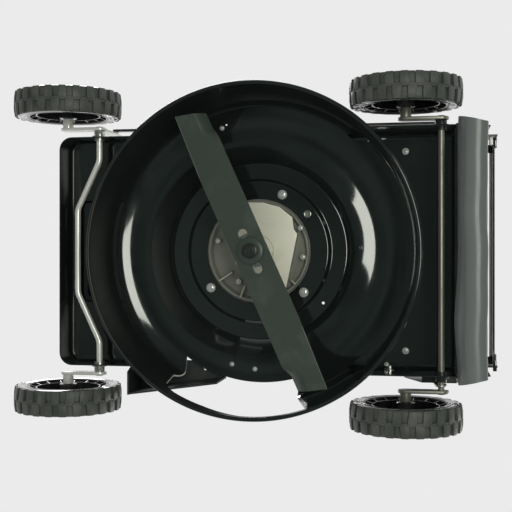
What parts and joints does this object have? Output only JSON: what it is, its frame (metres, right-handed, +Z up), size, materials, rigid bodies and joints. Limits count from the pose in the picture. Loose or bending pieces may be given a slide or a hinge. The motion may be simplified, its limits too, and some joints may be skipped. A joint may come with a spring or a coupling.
{
  "type": "lawn mower",
  "caption": "Walk-behind petrol lawn mower with a pressed steel deck, cranked axles set by one lever, side and rear discharge, and a handle folded forward over the engine.",
  "frame": {"origin": "on the ground under the middle of the whole mower's bounding box, handle folded", "axes": "+X to the mower's rear, +Y to its right-hand side, +Z up"},
  "size_m": [0.795, 0.5686, 0.4776],
  "materials": {
    "gloss_black_enamel": "gloss black enamel",
    "satin_black_paint": "satin black paint",
    "zinc_plate": "bright zinc plate",
    "painted_blade_steel": "thin dark paint, worn edges",
    "plain_steel": "machined steel",
    "cast_aluminium": "as cast",
    "tyre_rubber": "dull, moulded tread",
    "rim_plastic": "moulded black plastic",
    "flap_rubber": "soft dark rubber",
    "hood_plastic": "dull moulded plastic",
    "engine_cover_plastic": "black plastic",
    "muffler_steel": "heat-stained steel",
    "handle_paint": "black powder coat",
    "grip_foam": "black foam sleeve",
    "plug_ceramic": "white ceramic with steel hex"
  },
  "bodies": {
    "mower_body": {"deck": "gloss_black_enamel", "front_baffle": "gloss_black_enamel", "rear_baffle": "gloss_black_enamel", "front_bush_left": "zinc_plate", "front_bush_right": "zinc_plate", "rear_bush_left": "satin_black_paint", "rear_bush_right": "satin_black_paint", "height_quadrant": "satin_black_paint", "handle_bracket_left": "satin_black_paint", "handle_bracket_right": "satin_black_paint", "side_flap_bracket": "satin_black_paint", "tail_flap_rod": "zinc_plate", "door_rod": "zinc_plate", "engine_sump": "cast_aluminium", "engine_block": "cast_aluminium", "cylinder_head": "cast_aluminium", "rocker_cover": "satin_black_paint", "blower_shroud": "engine_cover_plastic", "recoil_cover": "engine_cover_plastic", "fuel_tank": "engine_cover_plastic", "muffler": "muffler_steel", "air_filter_box": "engine_cover_plastic", "carburettor": "cast_aluminium", "spark_plug": "plug_ceramic", "oil_filler_tube": "satin_black_paint", "engine_bolt_1": "zinc_plate", "engine_bolt_2": "zinc_plate", "engine_bolt_3": "zinc_plate"},
    "rear_axle_body": {"rear_axle": "zinc_plate", "height_lever": "zinc_plate", "height_lever_grip": "engine_cover_plastic"},
    "front_axle_body": {"front_axle": "zinc_plate"},
    "tie_rod_body": {"tie_rod": "zinc_plate"},
    "front_left_wheel": {"front_left_tyre": "tyre_rubber", "front_left_wheel_rim": "rim_plastic"},
    "front_right_wheel": {"front_right_tyre": "tyre_rubber", "front_right_wheel_rim": "rim_plastic"},
    "rear_left_wheel": {"rear_left_tyre": "tyre_rubber", "rear_left_wheel_rim": "rim_plastic"},
    "rear_right_wheel": {"rear_right_tyre": "tyre_rubber", "rear_right_wheel_rim": "rim_plastic"},
    "cutter": {"blade": "painted_blade_steel", "blade_washer": "satin_black_paint", "blade_bolt": "satin_black_paint", "blade_adapter": "plain_steel", "crankshaft": "plain_steel", "flywheel": "cast_aluminium"},
    "side_hood": {"side_flap": "hood_plastic"},
    "trailing_flap": {"tail_flap": "flap_rubber"},
    "tail_door": {"rear_door": "gloss_black_enamel"},
    "handle_lower": {"lower_handle": "handle_paint"},
    "handle_upper": {"upper_handle": "handle_paint", "handle_grip": "grip_foam"},
    "bail": {"bail_lever": "zinc_plate"},
    "knob_left": {"handle_knob_left": "engine_cover_plastic"},
    "knob_right": {"handle_knob_right": "engine_cover_plastic"},
    "dipstick": {"oil_dipstick": "engine_cover_plastic"},
    "fuel_cap_body": {"fuel_cap": "engine_cover_plastic"},
    "starter_pull_grip": {"starter_grip": "engine_cover_plastic"},
    "primer": {"primer_bulb": "flap_rubber"}
  },
  "joints": [
    {"name": "rear_axle_pivot", "type": "hinge", "parent": "mower_body", "child": "rear_axle_body", "pos_m": [0.3065, -0.006, 0.089], "axis": [0, 1, 0], "range_deg": [-25, 25]},
    {"name": "front_axle_pivot", "type": "hinge", "parent": "mower_body", "child": "front_axle_body", "pos_m": [-0.2535, -0.006, 0.089], "axis": [0, 1, 0], "range_deg": [-25, 25]},
    {"name": "tie_rod_pivot", "type": "hinge", "parent": "rear_axle_body", "child": "tie_rod_body", "pos_m": [0.3065, -0.006, 0.179], "axis": [0, 1, 0], "range_deg": [-25, 25]},
    {"name": "front_left_wheel_spin", "type": "hinge", "parent": "front_axle_body", "child": "front_left_wheel", "pos_m": [-0.3085, -0.25, 0.089], "axis": [0, 1, 0], "continuous": true},
    {"name": "front_right_wheel_spin", "type": "hinge", "parent": "front_axle_body", "child": "front_right_wheel", "pos_m": [-0.3085, 0.238, 0.089], "axis": [0, 1, 0], "continuous": true},
    {"name": "rear_left_wheel_spin", "type": "hinge", "parent": "rear_axle_body", "child": "rear_left_wheel", "pos_m": [0.2515, -0.254, 0.089], "axis": [0, 1, 0], "continuous": true},
    {"name": "rear_right_wheel_spin", "type": "hinge", "parent": "rear_axle_body", "child": "rear_right_wheel", "pos_m": [0.2515, 0.254, 0.089], "axis": [0, 1, 0], "continuous": true},
    {"name": "cutter_spin", "type": "hinge", "parent": "mower_body", "child": "cutter", "pos_m": [0.0095, -0.006, 0.048], "axis": [0, 0, 1], "continuous": true},
    {"name": "side_flap_hinge", "type": "hinge", "parent": "mower_body", "child": "side_hood", "pos_m": [-0.0525, 0.19, 0.1655], "axis": [1, 0, 0], "range_deg": [0, 80], "stiffness_Nm_per_rad": 0.3, "springref_deg": -22.92},
    {"name": "tail_flap_hinge", "type": "hinge", "parent": "mower_body", "child": "trailing_flap", "pos_m": [0.3315, -0.006, 0.074], "axis": [0, -1, 0], "range_deg": [-45, 25], "stiffness_Nm_per_rad": 1.5, "springref_deg": 3.44},
    {"name": "rear_door_hinge", "type": "hinge", "parent": "mower_body", "child": "tail_door", "pos_m": [0.3875, -0.006, 0.166], "axis": [0, -1, 0], "range_deg": [0, 70], "stiffness_Nm_per_rad": 0.3, "springref_deg": -17.19},
    {"name": "handle_fold", "type": "hinge", "parent": "mower_body", "child": "handle_lower", "pos_m": [0.3495, -0.006, 0.178], "axis": [0, 1, 0], "range_deg": [0, 108]},
    {"name": "upper_handle_fold", "type": "hinge", "parent": "handle_lower", "child": "handle_upper", "pos_m": [-0.10727, -0.006, 0.38137], "axis": [0, -1, 0], "range_deg": [0, 152]},
    {"name": "bail_hinge", "type": "hinge", "parent": "handle_upper", "child": "bail", "pos_m": [0.29176, -0.006, 0.40927], "axis": [0, 1, 0], "range_deg": [0, 23], "stiffness_Nm_per_rad": 0.3, "springref_deg": -28.65},
    {"name": "knob_left_turn", "type": "hinge", "parent": "handle_lower", "child": "knob_left", "pos_m": [-0.10727, -0.206, 0.38137], "axis": [0, 1, 0], "continuous": true},
    {"name": "knob_right_turn", "type": "hinge", "parent": "handle_lower", "child": "knob_right", "pos_m": [-0.10727, 0.194, 0.38137], "axis": [0, 1, 0], "continuous": true},
    {"name": "dipstick_slide", "type": "slide", "parent": "mower_body", "child": "dipstick", "axis": [0, 0, 1], "range_m": [0, 0.12]},
    {"name": "fuel_cap_turn", "type": "hinge", "parent": "mower_body", "child": "fuel_cap_body", "pos_m": [0.1481, 0.044, 0.2923], "axis": [0, 0, 1], "range_deg": [0, 120]},
    {"name": "starter_pull", "type": "slide", "parent": "mower_body", "child": "starter_pull_grip", "axis": [0.8, 0, 0.6], "range_m": [0, 0.5], "stiffness_N_per_m": 8, "springref_m": -0.5},
    {"name": "primer_press", "type": "slide", "parent": "mower_body", "child": "primer", "axis": [0, 1, 0], "range_m": [0, 0.005], "stiffness_N_per_m": 300, "springref_m": -0.002}
  ],
  "couplings": [
    {"joint": "front_axle_pivot", "follows": "rear_axle_pivot", "ratio": 1},
    {"joint": "tie_rod_pivot", "follows": "rear_axle_pivot", "ratio": -1}
  ]
}
